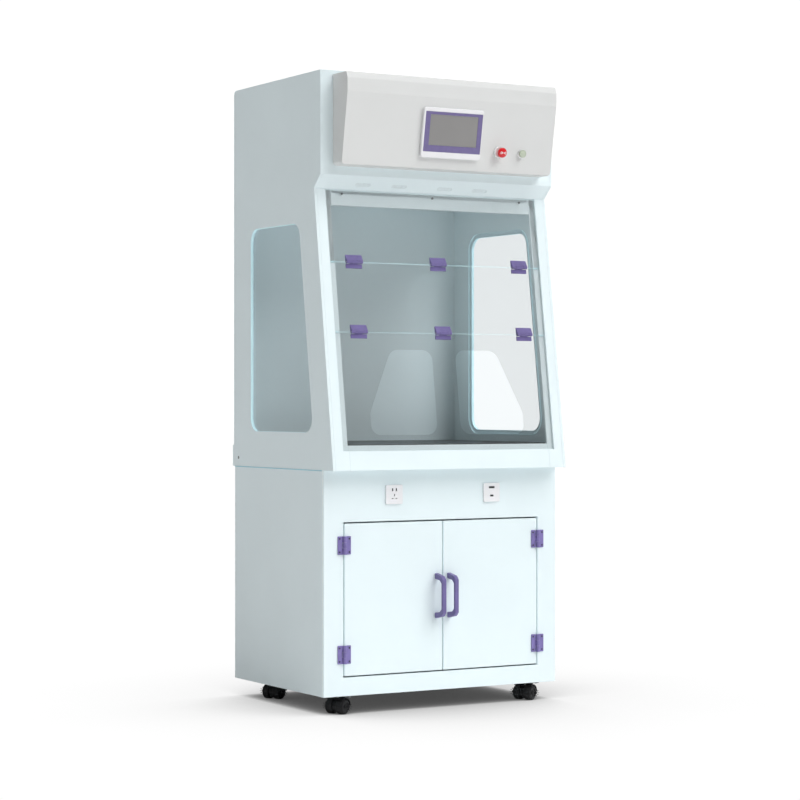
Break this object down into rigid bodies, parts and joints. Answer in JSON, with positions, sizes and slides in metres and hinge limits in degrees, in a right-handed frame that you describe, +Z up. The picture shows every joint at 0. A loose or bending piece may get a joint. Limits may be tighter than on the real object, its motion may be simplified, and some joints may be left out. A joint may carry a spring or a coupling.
{
  "type": "fume hood",
  "caption": "Free-standing filtered fume hood with hinged clear sashes, arm openings and a control panel, on a two-door cabinet with casters.",
  "frame": {"origin": "on the floor, under the centre of the whole footprint", "axes": "+Z up, -Y towards the user, +X to the user's right"},
  "size_m": [0.904, 0.7453, 2.091],
  "materials": {
    "white_sheet": "satin pale blue-white polypropylene sheet",
    "fascia_grey": "fine matt light grey",
    "purple_plastic": "satin moulded purple",
    "clear_pane": "clear acrylic with a faint blue tint",
    "worktop": "matt dark grey chemical-resistant slab",
    "caster_black": "black nylon",
    "wheel_black": "black tread",
    "steel": "brushed steel",
    "button_metal": "bright plated rings",
    "socket_white": "glossy white",
    "touch_frame": "smooth white",
    "touch_bezel": "purple border",
    "touch_screen": "dark grey screen, switched off",
    "stop_red": "glossy red",
    "start_green": "pale green lens",
    "lamp_white": "white enamel",
    "lamp_lens": "opal",
    "filter_fleece": "white fleece",
    "filter_case": "light grey cassette filled with granules",
    "fan_plastic": "dark glass-filled nylon",
    "inlet_black": "black"
  },
  "bodies": {
    "body": {"cabinet_sides": "white_sheet", "cabinet_back": "white_sheet", "cabinet_floor": "white_sheet", "face_frame": "white_sheet", "shelf": "white_sheet", "shelf_pins": "white_sheet", "frame_hinge_leaves": "purple_plastic", "door_hinge_pins": "steel", "socket_plates": "socket_white", "caster_plates": "caster_black", "hood_sides": "white_sheet", "side_panes": "clear_pane", "hood_back": "white_sheet", "hood_floor": "white_sheet", "roof_panel": "white_sheet", "exhaust_grille": "white_sheet", "visor_panel": "white_sheet", "worktop": "worktop", "window_uprights": "white_sheet", "header_rail": "white_sheet", "bottom_rail": "white_sheet", "upper_pane": "clear_pane", "upper_pane_leaves": "purple_plastic", "case_screws": "steel", "chamber_ceiling": "white_sheet", "lamp_housing": "lamp_white", "lamp_diffuser": "lamp_lens", "prefilter": "filter_fleece", "carbon_filter": "filter_case", "fan_deck": "white_sheet", "fan_motor": "steel", "control_box": "steel", "fascia": "fascia_grey", "hmi_frame": "touch_frame", "hmi_bezel": "touch_bezel", "hmi_screen": "touch_screen", "button_collars": "button_metal", "power_inlet": "inlet_black"},
    "left_door": {"left_door": "white_sheet", "left_handle": "purple_plastic", "left_door_leaves": "purple_plastic"},
    "right_door": {"right_door": "white_sheet", "right_handle": "purple_plastic", "right_door_leaves": "purple_plastic"},
    "middle_sash": {"middle_sash": "clear_pane", "middle_sash_leaves": "purple_plastic", "sash_hinge_pins": "steel"},
    "lower_sash": {"lower_sash": "clear_pane", "lower_sash_leaves": "purple_plastic"},
    "impeller": {"impeller": "fan_plastic"},
    "stop_button": {"stop_button": "stop_red"},
    "start_button": {"start_button": "start_green"},
    "front_left_swivel": {"front_left_fork": "caster_black"},
    "front_left_wheelset": {"front_left_wheels": "wheel_black"},
    "front_right_swivel": {"front_right_fork": "caster_black"},
    "front_right_wheelset": {"front_right_wheels": "wheel_black"},
    "rear_left_swivel": {"rear_left_fork": "caster_black"},
    "rear_left_wheelset": {"rear_left_wheels": "wheel_black"},
    "rear_right_swivel": {"rear_right_fork": "caster_black"},
    "rear_right_wheelset": {"rear_right_wheels": "wheel_black"}
  },
  "joints": [
    {"name": "left_door_hinge", "type": "hinge", "parent": "body", "child": "left_door", "pos_m": [-0.375, -0.2995, 0.37225], "axis": [0, 0, -1], "range_deg": [0, 165]},
    {"name": "right_door_hinge", "type": "hinge", "parent": "body", "child": "right_door", "pos_m": [0.375, -0.2995, 0.37225], "axis": [0, 0, 1], "range_deg": [0, 165]},
    {"name": "middle_sash_hinge", "type": "hinge", "parent": "body", "child": "middle_sash", "pos_m": [0, -0.26459, 1.47173], "axis": [-1, 0, 0], "range_deg": [0, 90]},
    {"name": "lower_sash_hinge", "type": "hinge", "parent": "middle_sash", "child": "lower_sash", "pos_m": [0, -0.29721, 1.24254], "axis": [-1, 0, 0], "range_deg": [0, 90]},
    {"name": "stop_button_push", "type": "slide", "parent": "body", "child": "stop_button", "axis": [0, 0.9855, 0.1699], "range_m": [0, 0.005]},
    {"name": "start_button_push", "type": "slide", "parent": "body", "child": "start_button", "axis": [0, 0.9855, 0.1699], "range_m": [0, 0.003], "stiffness_N_per_m": 300, "springref_m": -0.001},
    {"name": "fan_spin", "type": "hinge", "parent": "body", "child": "impeller", "pos_m": [0, 0.0815, 1.894], "axis": [0, 0, 1], "continuous": true},
    {"name": "front_left_caster_swivel", "type": "hinge", "parent": "body", "child": "front_left_swivel", "pos_m": [-0.364, -0.2485, 0.06], "axis": [0, 0, 1], "continuous": true},
    {"name": "front_left_wheel_roll", "type": "hinge", "parent": "front_left_swivel", "child": "front_left_wheelset", "pos_m": [-0.38004, -0.25667, 0.025], "axis": [0.454, -0.891, 0], "continuous": true},
    {"name": "front_right_caster_swivel", "type": "hinge", "parent": "body", "child": "front_right_swivel", "pos_m": [0.364, -0.2485, 0.06], "axis": [0, 0, 1], "continuous": true},
    {"name": "front_right_wheel_roll", "type": "hinge", "parent": "front_right_swivel", "child": "front_right_wheelset", "pos_m": [0.34796, -0.25667, 0.025], "axis": [0.454, -0.891, 0], "continuous": true},
    {"name": "rear_left_caster_swivel", "type": "hinge", "parent": "body", "child": "rear_left_swivel", "pos_m": [-0.364, 0.2015, 0.06], "axis": [0, 0, 1], "continuous": true},
    {"name": "rear_left_wheel_roll", "type": "hinge", "parent": "rear_left_swivel", "child": "rear_left_wheelset", "pos_m": [-0.38004, 0.19333, 0.025], "axis": [0.454, -0.891, 0], "continuous": true},
    {"name": "rear_right_caster_swivel", "type": "hinge", "parent": "body", "child": "rear_right_swivel", "pos_m": [0.364, 0.2015, 0.06], "axis": [0, 0, 1], "continuous": true},
    {"name": "rear_right_wheel_roll", "type": "hinge", "parent": "rear_right_swivel", "child": "rear_right_wheelset", "pos_m": [0.34796, 0.19333, 0.025], "axis": [0.454, -0.891, 0], "continuous": true}
  ]
}
